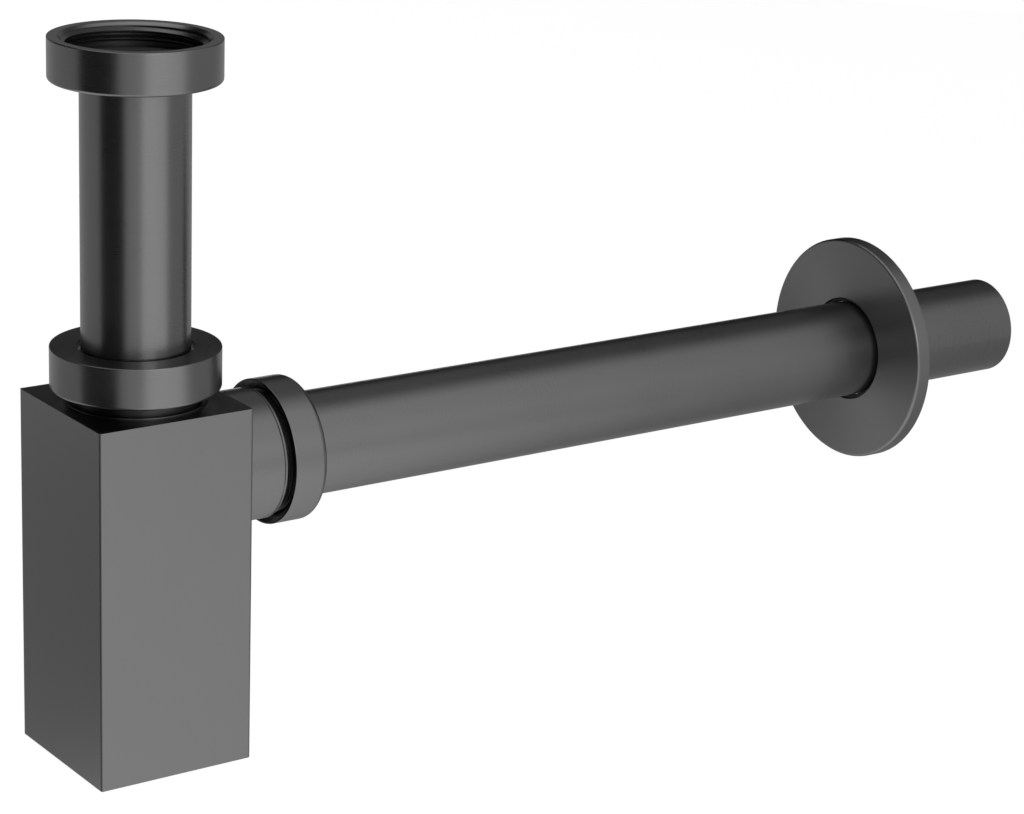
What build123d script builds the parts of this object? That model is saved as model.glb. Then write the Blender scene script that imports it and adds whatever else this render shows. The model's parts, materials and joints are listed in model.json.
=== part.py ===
"""Square bottle trap for a wash basin, in millimetres, +Z up.

The origin is on the inlet axis, at the top face of the union gasket, where the basin waste sits down.
The outlet leaves along +X.
"""

import os
from build123d import *

# Tubes
tube_r = 16.0
tube_wall = 1.0
tube_edge = 0.3
inlet_drop = 100.0
inlet_collar_thick = 1.5
inlet_collar_fillet = 0.7
inlet_tube_insert = 28.0
outlet_tube_inset = 2.0
outlet_tube_end_x = 336.0

# Threads: G 1 1/4 on the inlet and the neck, 38 x 1.5 on the outlet, 30 x 1.5 on the plug
inlet_thread_over_tube = 4.955
inlet_thread_depth = 1.479
outlet_thread_over_tube = 2.513
plug_thread_pitch_r = 14.5
thread_gap = 0.06
thread_chamfer = 0.5

# Union gasket
gasket_thread_gap = 0.276
gasket_overlap = 0.2
gasket_thick = 2.0
gasket_edge = 0.3

# Large nuts: the union nut and the neck nut
nut_wall = 4.045
nut_height = 12.5
nut_round = 1.1
nut_edge = 0.25
union_floor = 2.1
union_mouth_depth = 1.2
union_lead_in = 0.9
union_relief_depth = 1.024
union_hole_gap = 0.5
neck_nut_plate = 1.8
neck_nut_relief = 2.4
nut_hole_gap = 1.0

# Slip joints
slip_ring_thick = 1.0
slip_ring_gap = 0.3
ring_to_nut_gap = 0.3
seal_gap = 0.03
seal_rim_thick = 1.5
seal_nose_wall = 1.3
seal_tip_wall = 0.6
seal_nose_length = 2.4
seat_gap = 0.3
seal_edge = 0.2

# Dip tube
dip_bore_gap = 0.4
dip_wall = 1.2
dip_collar_thick = 1.6
dip_gasket_thick = 1.0
dip_above_floor = 17.0
dip_gap = 0.2

# Neck nipple
neck_height = 9.4
neck_collar_over_thread = 0.785
neck_collar_height = 0.5
neck_relief_height = 1.4
neck_spigot_wall = 1.1
spigot_gap = 0.05
spigot_below = 0.7

# Bottle
bottle_width = 50.0
bottle_height = 110.0
bottle_wall = 1.5
bottle_floor = 2.0
bottle_corner = 0.6
bottle_base_round = 1.0
bottle_top_round = 0.3
bottle_inner_corner = 1.0

# Outlet boss and its nut
outlet_drop = 23.0
boss_bore_gap = 0.5
boss_wall = 3.5
boss_length = 14.0
boss_bevel = 0.8
outlet_relief_wall = 1.3
outlet_relief_length = 1.4
outlet_thread_length = 8.3
outlet_spigot_wall = 1.8
outlet_nut_wall = 3.687
outlet_nut_length = 11.4
outlet_nut_plate = 1.8
outlet_nut_round = 2.0
outlet_mouth_wall = 1.6
outlet_mouth_depth = 1.5
outlet_hole_gap = 0.8

# Wall flange and its grip ring
flange_r = 37.5
flange_setback = 63.0
flange_plate = 1.0
flange_depth = 5.3
flange_round = 0.6
flange_hole_gap = 1.4
grip_section_r = 0.9
grip_gap = 0.03
grip_groove_gap = 0.02
grip_side_gap = 0.05
flange_hub_wall = 1.0
flange_hub_lip = 0.8

# Cleaning plug
plug_head_overhang = 2.5
plug_head_thick = 2.4
plug_head_gap = 0.4
plug_gasket_thick = 1.5
plug_gasket_gap = 0.2
plug_shank_length = 5.6
plug_wall = 2.4
plug_slot_length = 22.0
plug_slot_width = 2.6
plug_slot_depth = 1.4
plug_edge = 0.4
plug_boss_wall = 3.1
plug_boss_height = 7.0

# Radii worked out from the sizes above
tube_bore_r = tube_r - tube_wall
inlet_thread_major_r = tube_r + inlet_thread_over_tube
inlet_thread_pitch_r = inlet_thread_major_r - inlet_thread_depth / 2
inlet_thread_minor_r = inlet_thread_major_r - inlet_thread_depth
outlet_thread_pitch_r = tube_r + outlet_thread_over_tube
gasket_r = inlet_thread_minor_r - gasket_thread_gap
nut_r = inlet_thread_major_r + nut_wall
seal_nose_r = tube_r + seal_nose_wall
seal_tip_r = tube_r + seal_tip_wall
seat_r = seal_nose_r + seat_gap
seat_slope = (seal_nose_r - seal_tip_r) / seal_nose_length
dip_bore_r = tube_r + dip_bore_gap
dip_r = dip_bore_r + dip_wall
neck_ring_r = inlet_thread_pitch_r - 2 * ring_to_nut_gap
outlet_ring_r = outlet_thread_pitch_r - ring_to_nut_gap
boss_bore_r = tube_r + boss_bore_gap
boss_r = boss_bore_r + boss_wall
outlet_spigot_r = boss_bore_r + outlet_spigot_wall
plug_head_r = plug_thread_pitch_r + plug_head_overhang
plug_recess_r = plug_head_r + plug_head_gap

# Heights worked out from the sizes above
inlet_collar_top_z = -gasket_thick
inlet_collar_bottom_z = inlet_collar_top_z - inlet_collar_thick
bottle_top_z = -inlet_drop
bottle_bottom_z = bottle_top_z - bottle_height
inlet_tube_end_z = bottle_top_z - inlet_tube_insert
neck_rim_z = bottle_top_z + neck_height
dip_collar_bottom_z = neck_rim_z + dip_gasket_thick
neck_seal_bottom_z = dip_collar_bottom_z + dip_collar_thick
neck_ring_bottom_z = neck_seal_bottom_z + seal_rim_thick
neck_shelf_z = neck_ring_bottom_z + slip_ring_thick
neck_nut_top_z = neck_shelf_z + neck_nut_plate
dip_end_z = bottle_bottom_z + dip_above_floor
plug_seat_z = bottle_bottom_z + plug_head_thick + plug_gasket_thick
outlet_z = bottle_top_z - outlet_drop

# Places along the outlet worked out from the sizes above
bottle_side = bottle_width / 2
boss_end_x = bottle_side + boss_length
outlet_rim_x = boss_end_x + outlet_relief_length + outlet_thread_length
outlet_ring_start_x = outlet_rim_x + seal_rim_thick
outlet_shelf_x = outlet_ring_start_x + slip_ring_thick
outlet_nut_end_x = outlet_shelf_x + outlet_nut_plate
outlet_nut_start_x = outlet_nut_end_x - outlet_nut_length
outlet_tube_start_x = bottle_side + outlet_tube_inset
flange_face_x = outlet_tube_end_x - flange_setback

outlet_axis = Axis((0, 0, outlet_z), (1, 0, 0))
outlet_plane = Plane(origin=(0, 0, outlet_z), x_dir=(1, 0, 0), z_dir=(0, -1, 0))

# Union nut: a turned ring with the inlet thread, a relief for the gasket and a shelf under the tube's collar
union_nut_bottom_z = inlet_collar_bottom_z - union_floor
union_nut_top_z = union_nut_bottom_z + nut_height
union_mouth_z = union_nut_top_z - union_mouth_depth
union_hole_r = tube_r + union_hole_gap
union_relief_r = inlet_thread_minor_r + union_relief_depth
with BuildPart() as union_nut:
    with BuildSketch(Plane.XZ):
        Polygon(
            (union_hole_r, union_nut_bottom_z),
            (nut_r, union_nut_bottom_z),
            (nut_r, union_nut_top_z),
            (inlet_thread_major_r, union_nut_top_z),
            (inlet_thread_major_r, union_mouth_z),
            (inlet_thread_minor_r, union_mouth_z - union_lead_in),
            (inlet_thread_minor_r, 0),
            (union_relief_r, 0),
            (union_relief_r, inlet_collar_bottom_z),
            (union_hole_r + inlet_collar_fillet, inlet_collar_bottom_z),
            (union_hole_r, inlet_collar_bottom_z - inlet_collar_fillet),
            align=None,
        )
    revolve(axis=Axis.Z)
    rim_edges = union_nut.edges().filter_by(GeomType.CIRCLE).filter_by(lambda e: e.radius > nut_r - 0.01)
    fillet(rim_edges.sort_by(Axis.Z)[0], radius=nut_round)
    chamfer(rim_edges.sort_by(Axis.Z)[-1], length=nut_edge)
union_nut.part.label = "union_nut"

# Union gasket: the flat rubber ring that the basin waste presses on
with BuildPart() as union_gasket:
    with BuildSketch(Plane.XY.offset(inlet_collar_top_z)):
        Circle(gasket_r)
        Circle(tube_bore_r - gasket_overlap, mode=Mode.SUBTRACT)
    extrude(amount=gasket_thick)
    chamfer(union_gasket.edges(), length=gasket_edge)
union_gasket.part.label = "union_gasket"

# Inlet tube: plain tube with a collar turned out at its top
with BuildPart() as inlet_tube:
    with BuildSketch(Plane.XZ):
        Polygon(
            (tube_bore_r, inlet_tube_end_z),
            (tube_r, inlet_tube_end_z),
            (tube_r, inlet_collar_bottom_z),
            (gasket_r, inlet_collar_bottom_z),
            (gasket_r, inlet_collar_top_z),
            (tube_bore_r, inlet_collar_top_z),
            align=None,
        )
    revolve(axis=Axis.Z)
    rings = inlet_tube.edges().filter_by(GeomType.CIRCLE)
    collar_root = rings.filter_by_position(Axis.Z, inlet_collar_bottom_z, inlet_collar_bottom_z)
    fillet(collar_root.sort_by(SortBy.RADIUS)[0], radius=inlet_collar_fillet)
    chamfer(rings.group_by(Axis.Z)[0], length=tube_edge)
    rings = inlet_tube.edges().filter_by(GeomType.CIRCLE)
    fillet(rings.group_by(Axis.Z)[-1].sort_by(SortBy.RADIUS)[0], radius=inlet_collar_fillet)
inlet_tube.part.label = "inlet_tube"

# Neck nut: a cap with a hole for the inlet tube, threaded from below
neck_nut_bottom_z = neck_nut_top_z - nut_height
neck_hole_r = tube_r + nut_hole_gap
neck_nut_relief_r = inlet_thread_pitch_r + ring_to_nut_gap
with BuildPart() as neck_nut:
    with BuildSketch(Plane.XZ):
        Polygon(
            (neck_hole_r, neck_nut_top_z),
            (nut_r, neck_nut_top_z),
            (nut_r, neck_nut_bottom_z),
            (inlet_thread_major_r, neck_nut_bottom_z),
            (inlet_thread_pitch_r, neck_nut_bottom_z + inlet_thread_major_r - inlet_thread_pitch_r),
            (inlet_thread_pitch_r, neck_shelf_z - neck_nut_relief),
            (neck_nut_relief_r, neck_shelf_z - neck_nut_relief),
            (neck_nut_relief_r, neck_shelf_z),
            (neck_hole_r, neck_shelf_z),
            align=None,
        )
    revolve(axis=Axis.Z)
    rim_edges = neck_nut.edges().filter_by(GeomType.CIRCLE).filter_by(lambda e: e.radius > nut_r - 0.01)
    fillet(rim_edges.sort_by(Axis.Z)[0], radius=nut_round)
    chamfer(rim_edges.sort_by(Axis.Z)[-1], length=nut_edge)
    chamfer(neck_nut.edges().group_by(Axis.Z)[-1].sort_by(SortBy.RADIUS)[0], length=nut_edge)
neck_nut.part.label = "neck_nut"

# Neck slip ring: lets the nut turn without dragging the seal round
with BuildPart() as neck_slip_ring:
    with BuildSketch(Plane.XY.offset(neck_ring_bottom_z)):
        Circle(neck_ring_r)
        Circle(tube_r + slip_ring_gap, mode=Mode.SUBTRACT)
    extrude(amount=slip_ring_thick)
neck_slip_ring.part.label = "neck_slip_ring"

# Neck cone seal: a rim that the slip ring presses, and a nose that wedges into the dip tube's mouth
with BuildPart() as neck_cone_seal:
    with BuildSketch(Plane.XZ):
        Polygon(
            (tube_r + seal_gap, neck_ring_bottom_z),
            (neck_ring_r, neck_ring_bottom_z),
            (neck_ring_r, neck_seal_bottom_z),
            (seal_nose_r, neck_seal_bottom_z),
            (seal_tip_r, neck_seal_bottom_z - seal_nose_length),
            (tube_r + seal_gap, neck_seal_bottom_z - seal_nose_length),
            align=None,
        )
    revolve(axis=Axis.Z)
    chamfer(neck_cone_seal.edges().group_by(Axis.Z)[0].sort_by(SortBy.RADIUS)[-1], length=seal_edge)
neck_cone_seal.part.label = "neck_cone_seal"

# Dip tube: hangs by its collar on the neck and carries the water down below the outlet
dip_seat_end_z = neck_seal_bottom_z - (seat_r - dip_bore_r) / seat_slope
with BuildPart() as dip_tube:
    with BuildSketch(Plane.XZ):
        Polygon(
            (dip_bore_r, dip_end_z),
            (dip_r, dip_end_z),
            (dip_r, dip_collar_bottom_z),
            (neck_ring_r, dip_collar_bottom_z),
            (neck_ring_r, neck_seal_bottom_z),
            (seat_r, neck_seal_bottom_z),
            (dip_bore_r, dip_seat_end_z),
            align=None,
        )
    revolve(axis=Axis.Z)
    chamfer(dip_tube.edges().group_by(Axis.Z)[0], length=tube_edge)
dip_tube.part.label = "dip_tube"

# Dip tube gasket: flat ring between the dip tube's collar and the neck's rim
with BuildPart() as dip_gasket:
    with BuildSketch(Plane.XY.offset(neck_rim_z)):
        Circle(neck_ring_r)
        Circle(dip_r + dip_gap, mode=Mode.SUBTRACT)
    extrude(amount=dip_gasket_thick)
dip_gasket.part.label = "dip_gasket"

# Neck nipple: threaded neck with a collar on the bottle's top and a spigot soldered through it
neck_bore_r = dip_r + dip_gap
neck_spigot_r = neck_bore_r + neck_spigot_wall
neck_collar_r = inlet_thread_pitch_r + neck_collar_over_thread
neck_relief_r = inlet_thread_minor_r - gasket_thread_gap
neck_thread_r = inlet_thread_pitch_r - thread_gap
neck_collar_top_z = bottle_top_z + neck_collar_height
neck_thread_bottom_z = neck_collar_top_z + neck_relief_height
neck_spigot_bottom_z = bottle_top_z - bottle_wall - spigot_below
with BuildPart() as neck_nipple:
    with BuildSketch(Plane.XZ):
        Polygon(
            (neck_bore_r, neck_rim_z),
            (neck_thread_r - thread_chamfer, neck_rim_z),
            (neck_thread_r, neck_rim_z - thread_chamfer),
            (neck_thread_r, neck_thread_bottom_z),
            (neck_relief_r, neck_thread_bottom_z),
            (neck_relief_r, neck_collar_top_z),
            (neck_collar_r, neck_collar_top_z),
            (neck_collar_r, bottle_top_z),
            (neck_spigot_r, bottle_top_z),
            (neck_spigot_r, neck_spigot_bottom_z),
            (neck_bore_r, neck_spigot_bottom_z),
            align=None,
        )
    revolve(axis=Axis.Z)
neck_nipple.part.label = "neck_nipple"

# Bottle: a square hollow body with a thickened base boss for the cleaning plug
with BuildPart() as bottle_body:
    with BuildSketch(Plane.XY.offset(bottle_bottom_z)):
        Rectangle(bottle_width, bottle_width)
    extrude(amount=bottle_height)
    fillet(bottle_body.edges().filter_by(Axis.Z), radius=bottle_corner)
    fillet(bottle_body.faces().sort_by(Axis.Z)[0].edges(), radius=bottle_base_round)
    fillet(bottle_body.faces().sort_by(Axis.Z)[-1].edges(), radius=bottle_top_round)
    with BuildSketch(Plane.XY.offset(bottle_bottom_z + bottle_floor)):
        RectangleRounded(bottle_width - 2 * bottle_wall, bottle_width - 2 * bottle_wall, bottle_inner_corner)
    extrude(amount=bottle_height - bottle_floor - bottle_wall, mode=Mode.SUBTRACT)
    with BuildSketch(Plane.XY.offset(bottle_bottom_z + bottle_floor)):
        Circle(plug_recess_r + plug_boss_wall)
    extrude(amount=plug_boss_height)
    with BuildSketch(Plane.XY.offset(bottle_bottom_z)):
        Circle(plug_recess_r)
    extrude(amount=plug_seat_z - bottle_bottom_z, mode=Mode.SUBTRACT)
    with BuildSketch(Plane.XY.offset(plug_seat_z)):
        Circle(plug_thread_pitch_r)
    extrude(amount=bottle_height / 2, mode=Mode.SUBTRACT)
    with BuildSketch(Plane.XY.offset(bottle_top_z)):
        Circle(neck_spigot_r + spigot_gap)
    extrude(amount=-2 * bottle_wall, mode=Mode.SUBTRACT)
    with BuildSketch(Plane.YZ.offset(bottle_side)):
        with Locations((0, outlet_z)):
            Circle(outlet_spigot_r + spigot_gap)
    extrude(amount=-2 * bottle_wall, mode=Mode.SUBTRACT)
bottle_body.part.label = "bottle_body"

# Outlet nipple: smooth boss with a bevelled shoulder, a relief, a thread and a seat for the cone seal
outlet_thread_r = outlet_thread_pitch_r - thread_gap
outlet_relief_r = boss_bore_r + outlet_relief_wall
outlet_seat_start_x = outlet_rim_x - (seat_r - boss_bore_r) / seat_slope
outlet_spigot_start_x = bottle_side - bottle_wall
with BuildPart() as outlet_nipple:
    with BuildSketch(outlet_plane):
        Polygon(
            (outlet_spigot_start_x, boss_bore_r),
            (outlet_spigot_start_x, outlet_spigot_r),
            (bottle_side, outlet_spigot_r),
            (bottle_side, boss_r),
            (boss_end_x - boss_bevel, boss_r),
            (boss_end_x, boss_r - boss_bevel),
            (boss_end_x, outlet_relief_r),
            (boss_end_x + outlet_relief_length, outlet_relief_r),
            (boss_end_x + outlet_relief_length, outlet_thread_r),
            (outlet_rim_x - thread_chamfer, outlet_thread_r),
            (outlet_rim_x, outlet_thread_r - thread_chamfer),
            (outlet_rim_x, seat_r),
            (outlet_seat_start_x, boss_bore_r),
            align=None,
        )
    revolve(axis=outlet_axis)
outlet_nipple.part.label = "outlet_nipple"

# Outlet cone seal: its nose wedges into the boss, round the outlet tube
with BuildPart() as outlet_cone_seal:
    with BuildSketch(outlet_plane):
        Polygon(
            (outlet_ring_start_x, tube_r + seal_gap),
            (outlet_ring_start_x, outlet_ring_r),
            (outlet_rim_x, outlet_ring_r),
            (outlet_rim_x, seal_nose_r),
            (outlet_rim_x - seal_nose_length, seal_tip_r),
            (outlet_rim_x - seal_nose_length, tube_r + seal_gap),
            align=None,
        )
    revolve(axis=outlet_axis)
    chamfer(outlet_cone_seal.edges().group_by(Axis.X)[0].sort_by(SortBy.RADIUS)[-1], length=seal_edge)
outlet_cone_seal.part.label = "outlet_cone_seal"

# Outlet slip ring
with BuildPart() as outlet_slip_ring:
    with BuildSketch(Plane.YZ.offset(outlet_ring_start_x)):
        with Locations((0, outlet_z)):
            Circle(outlet_ring_r)
            Circle(tube_r + slip_ring_gap, mode=Mode.SUBTRACT)
    extrude(amount=slip_ring_thick)
outlet_slip_ring.part.label = "outlet_slip_ring"

# Outlet nut: slimmer than the neck nut, rounded towards the wall, with a wide lead-in at its mouth
outlet_nut_r = outlet_thread_pitch_r + outlet_nut_wall
outlet_mouth_r = outlet_nut_r - outlet_mouth_wall
outlet_nut_hole_r = tube_r + outlet_hole_gap
with BuildPart() as outlet_nut:
    with BuildSketch(outlet_plane):
        Polygon(
            (outlet_nut_start_x, outlet_mouth_r),
            (outlet_nut_start_x, outlet_nut_r),
            (outlet_nut_end_x, outlet_nut_r),
            (outlet_nut_end_x, outlet_nut_hole_r),
            (outlet_shelf_x, outlet_nut_hole_r),
            (outlet_shelf_x, outlet_thread_pitch_r),
            (outlet_nut_start_x + outlet_mouth_depth, outlet_thread_pitch_r),
            align=None,
        )
    revolve(axis=outlet_axis)
    rim_edges = outlet_nut.edges().filter_by(GeomType.CIRCLE).filter_by(lambda e: e.radius > outlet_nut_r - 0.01)
    fillet(rim_edges.sort_by(Axis.X)[-1], radius=outlet_nut_round)
    chamfer(rim_edges.sort_by(Axis.X)[0], length=nut_edge)
outlet_nut.part.label = "outlet_nut"

# Outlet tube: plain tube that ends in the wall pipe
with BuildPart() as outlet_tube:
    with BuildSketch(Plane.YZ.offset(outlet_tube_start_x)):
        with Locations((0, outlet_z)):
            Circle(tube_r)
            Circle(tube_bore_r, mode=Mode.SUBTRACT)
    extrude(amount=outlet_tube_end_x - outlet_tube_start_x)
    chamfer(outlet_tube.edges().filter_by(GeomType.CIRCLE), length=tube_edge)
outlet_tube.part.label = "outlet_tube"

# Wall flange: a pressed cup that covers the hole in the wall, with a short grooved hub for the grip ring
flange_back_x = flange_face_x + flange_depth
flange_hole_r = tube_r + flange_hole_gap
grip_start_x = flange_face_x + flange_plate
grip_width = 2 * grip_section_r + 2 * grip_side_gap
groove_r = tube_r + grip_gap + 2 * grip_section_r + grip_groove_gap
hub_r = groove_r + flange_hub_wall
hub_end_x = grip_start_x + grip_width + flange_hub_lip
with BuildPart() as wall_flange:
    with BuildSketch(outlet_plane):
        Polygon(
            (flange_face_x, flange_hole_r),
            (flange_face_x, flange_r),
            (flange_back_x, flange_r),
            (flange_back_x, flange_r - flange_plate),
            (grip_start_x, flange_r - flange_plate),
            (grip_start_x, hub_r),
            (hub_end_x, hub_r),
            (hub_end_x, flange_hole_r),
            (grip_start_x + grip_width, flange_hole_r),
            (grip_start_x + grip_width, groove_r),
            (grip_start_x, groove_r),
            (grip_start_x, flange_hole_r),
            align=None,
        )
    revolve(axis=outlet_axis)
    front_edges = wall_flange.edges().group_by(Axis.X)[0].sort_by(SortBy.RADIUS)
    fillet(front_edges[-1], radius=flange_round)
    chamfer(front_edges[0], length=flange_round / 2)
wall_flange.part.label = "wall_flange"

# Flange grip ring: round-section rubber ring in the hub's groove
grip_centre_r = tube_r + grip_gap + grip_section_r
with BuildPart() as flange_grip_ring:
    with BuildSketch(outlet_plane):
        with Locations((grip_start_x + grip_width / 2, grip_centre_r)):
            Circle(grip_section_r)
    revolve(axis=outlet_axis)
flange_grip_ring.part.label = "flange_grip_ring"

# Plug gasket: flat ring between the plug's head and its seat in the base
plug_thread_r = plug_thread_pitch_r - thread_gap
with BuildPart() as plug_gasket:
    with BuildSketch(Plane.XY.offset(plug_seat_z - plug_gasket_thick)):
        Circle(plug_head_r)
        Circle(plug_thread_pitch_r + plug_gasket_gap, mode=Mode.SUBTRACT)
    extrude(amount=plug_gasket_thick)
plug_gasket.part.label = "plug_gasket"

# Cleaning plug: flush head with a coin slot, and a hollow threaded shank
with BuildPart() as cleaning_plug:
    with BuildSketch(Plane.XY.offset(bottle_bottom_z)):
        Circle(plug_head_r)
    extrude(amount=plug_head_thick)
    with BuildSketch(Plane.XY.offset(bottle_bottom_z + plug_head_thick)):
        Circle(plug_thread_r)
    extrude(amount=plug_gasket_thick + plug_shank_length)
    chamfer(cleaning_plug.faces().sort_by(Axis.Z)[-1].edges(), length=thread_chamfer)
    chamfer(cleaning_plug.faces().sort_by(Axis.Z)[0].edges(), length=plug_edge)
    with BuildSketch(cleaning_plug.faces().sort_by(Axis.Z)[-1]):
        Circle(plug_thread_r - plug_wall)
    extrude(amount=-plug_shank_length - plug_gasket_thick + plug_edge, mode=Mode.SUBTRACT)
    with BuildSketch(Plane.XY.offset(bottle_bottom_z)):
        SlotOverall(plug_slot_length, plug_slot_width)
    extrude(amount=plug_slot_depth, mode=Mode.SUBTRACT)
cleaning_plug.part.label = "cleaning_plug"

os.makedirs("parts", exist_ok=True)
export_step(union_nut.part, "parts/union_nut.step")
export_step(union_gasket.part, "parts/union_gasket.step")
export_step(inlet_tube.part, "parts/inlet_tube.step")
export_step(neck_nut.part, "parts/neck_nut.step")
export_step(neck_slip_ring.part, "parts/neck_slip_ring.step")
export_step(neck_cone_seal.part, "parts/neck_cone_seal.step")
export_step(dip_tube.part, "parts/dip_tube.step")
export_step(dip_gasket.part, "parts/dip_gasket.step")
export_step(neck_nipple.part, "parts/neck_nipple.step")
export_step(bottle_body.part, "parts/bottle_body.step")
export_step(outlet_nipple.part, "parts/outlet_nipple.step")
export_step(outlet_cone_seal.part, "parts/outlet_cone_seal.step")
export_step(outlet_slip_ring.part, "parts/outlet_slip_ring.step")
export_step(outlet_nut.part, "parts/outlet_nut.step")
export_step(outlet_tube.part, "parts/outlet_tube.step")
export_step(wall_flange.part, "parts/wall_flange.step")
export_step(flange_grip_ring.part, "parts/flange_grip_ring.step")
export_step(plug_gasket.part, "parts/plug_gasket.step")
export_step(cleaning_plug.part, "parts/cleaning_plug.step")
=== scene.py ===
import json
import math

import bmesh
import bpy
from mathutils import Matrix, Vector

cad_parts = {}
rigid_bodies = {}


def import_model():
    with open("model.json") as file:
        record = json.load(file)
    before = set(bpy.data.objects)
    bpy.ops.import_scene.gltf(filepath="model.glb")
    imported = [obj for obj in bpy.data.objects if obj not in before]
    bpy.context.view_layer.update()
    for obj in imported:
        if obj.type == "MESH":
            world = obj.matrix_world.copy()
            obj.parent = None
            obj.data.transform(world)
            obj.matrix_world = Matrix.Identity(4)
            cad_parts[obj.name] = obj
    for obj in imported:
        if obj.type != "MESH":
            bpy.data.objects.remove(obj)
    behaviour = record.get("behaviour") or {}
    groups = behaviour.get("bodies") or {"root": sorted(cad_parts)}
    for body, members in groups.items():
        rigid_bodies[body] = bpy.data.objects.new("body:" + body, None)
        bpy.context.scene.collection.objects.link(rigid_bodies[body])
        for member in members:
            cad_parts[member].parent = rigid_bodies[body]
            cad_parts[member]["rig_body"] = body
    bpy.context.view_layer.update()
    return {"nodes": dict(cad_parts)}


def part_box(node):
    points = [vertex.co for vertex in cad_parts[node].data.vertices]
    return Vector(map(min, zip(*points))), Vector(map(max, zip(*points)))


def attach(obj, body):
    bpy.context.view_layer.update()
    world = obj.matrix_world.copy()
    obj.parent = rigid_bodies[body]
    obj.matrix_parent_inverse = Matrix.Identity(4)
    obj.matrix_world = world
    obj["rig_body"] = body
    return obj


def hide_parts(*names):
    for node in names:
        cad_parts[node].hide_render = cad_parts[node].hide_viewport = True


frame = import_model()

# Bottle body
# The square brass bottle that holds the water seal. It is a hollow box with soft edges, polished flat and
# then coated dark, so its faces show only the faint upright lines of the last polishing belt.
mm = 0.001
nodes_of = frame["nodes"]
outlet_height = sum(corner[2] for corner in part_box("outlet_tube")) / 2
brush_pitch = 0.16 * mm
brush_depth = 0.003 * mm
brush_strength = 0.5
line_spread = 0.4 * mm
fine_detail = 3.0
belt_stretch = 0.01
belt_direction = (0.02, 0.05, 1.0)
band_width = 7.0 * mm
band_stretch = 0.1
cloud_scale = 45.0
noise_low = 0.3
noise_high = 0.7
coating_grey = (0.195, 0.195, 0.198)
tint_change = 0.06
line_roughness = 0.025
cloud_roughness = 0.02
grain_turn = 0.25
same_place = 1e-6
edge_steps = 5


def corners_of(node):
    """The low and the high corner of a CAD piece's box."""
    return [Vector(corner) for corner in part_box(node)]


def wire(links, source, target):
    """Connects an output to an input, or sets the input to a number."""
    if isinstance(source, (int, float)):
        target.default_value = source
    else:
        links.new(source, target)


def new_material(name):
    """An empty material with its shader, ready for its colour."""
    material = bpy.data.materials.new(name)
    material.use_nodes = True
    tree = material.node_tree
    return material, tree.nodes, tree.links, tree.nodes["Principled BSDF"]


def calc(nodes, links, operation, *inputs):
    """A Math node fed with numbers or with outputs."""
    math_node = nodes.new("ShaderNodeMath")
    math_node.operation = operation
    for socket, value in zip(math_node.inputs, inputs):
        wire(links, value, socket)
    return math_node.outputs[0]


def place_on(nodes, links):
    """The three coordinates of the piece's own points."""
    coords = nodes.new("ShaderNodeTexCoord")
    parts = nodes.new("ShaderNodeSeparateXYZ")
    wire(links, coords.outputs["Object"], parts.inputs["Vector"])
    return parts.outputs


def lathe_place(nodes, links, along):
    """The distance from a lathe axis, the place along it, and the two parts of the direction round it."""
    coords = nodes.new("ShaderNodeTexCoord")
    mapping = nodes.new("ShaderNodeMapping")
    mapping.vector_type = "TEXTURE"
    if along == "X":
        mapping.inputs["Location"].default_value = (0, 0, outlet_height)
        mapping.inputs["Rotation"].default_value = (0, math.pi / 2, 0)
    wire(links, coords.outputs["Object"], mapping.inputs["Vector"])
    parts = nodes.new("ShaderNodeSeparateXYZ")
    wire(links, mapping.outputs["Vector"], parts.inputs["Vector"])
    x, y, z = parts.outputs
    squares = calc(nodes, links, "ADD", calc(nodes, links, "MULTIPLY", x, x),
                   calc(nodes, links, "MULTIPLY", y, y))
    distance = calc(nodes, links, "SQRT", squares)
    return distance, z, calc(nodes, links, "DIVIDE", x, distance), calc(nodes, links, "DIVIDE", y, distance)


def noise_on(nodes, links, x, y, z, scale, detail=2.0):
    """Noise read at three given coordinates."""
    joined = nodes.new("ShaderNodeCombineXYZ")
    for socket, value in zip(joined.inputs, (x, y, z)):
        wire(links, value, socket)
    noise = nodes.new("ShaderNodeTexNoise")
    noise.inputs["Scale"].default_value = scale
    noise.inputs["Detail"].default_value = detail
    wire(links, joined.outputs["Vector"], noise.inputs["Vector"])
    return noise.outputs["Fac"]


def map_range(nodes, links, source, from_low, from_high, to_low, to_high):
    """Maps one range of values to another."""
    ranges = nodes.new("ShaderNodeMapRange")
    ends = (("From Min", from_low), ("From Max", from_high), ("To Min", to_low), ("To Max", to_high))
    for name, value in ends:
        ranges.inputs[name].default_value = value
    wire(links, source, ranges.inputs["Value"])
    return ranges.outputs["Result"]


def spread(nodes, links, noise, low, high):
    """Maps noise from its usual middle range to the given one."""
    return map_range(nodes, links, noise, noise_low, noise_high, low, high)


def tinted(nodes, links, colour, darkest, lightest, pattern):
    """A colour that goes from a little darker to a little lighter with a pattern."""
    tint = nodes.new("ShaderNodeMix")
    tint.data_type = "RGBA"
    tint.inputs["A"].default_value = [channel * darkest for channel in colour] + [1.0]
    tint.inputs["B"].default_value = [channel * lightest for channel in colour] + [1.0]
    wire(links, pattern, tint.inputs["Factor"])
    return tint.outputs["Result"]


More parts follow.
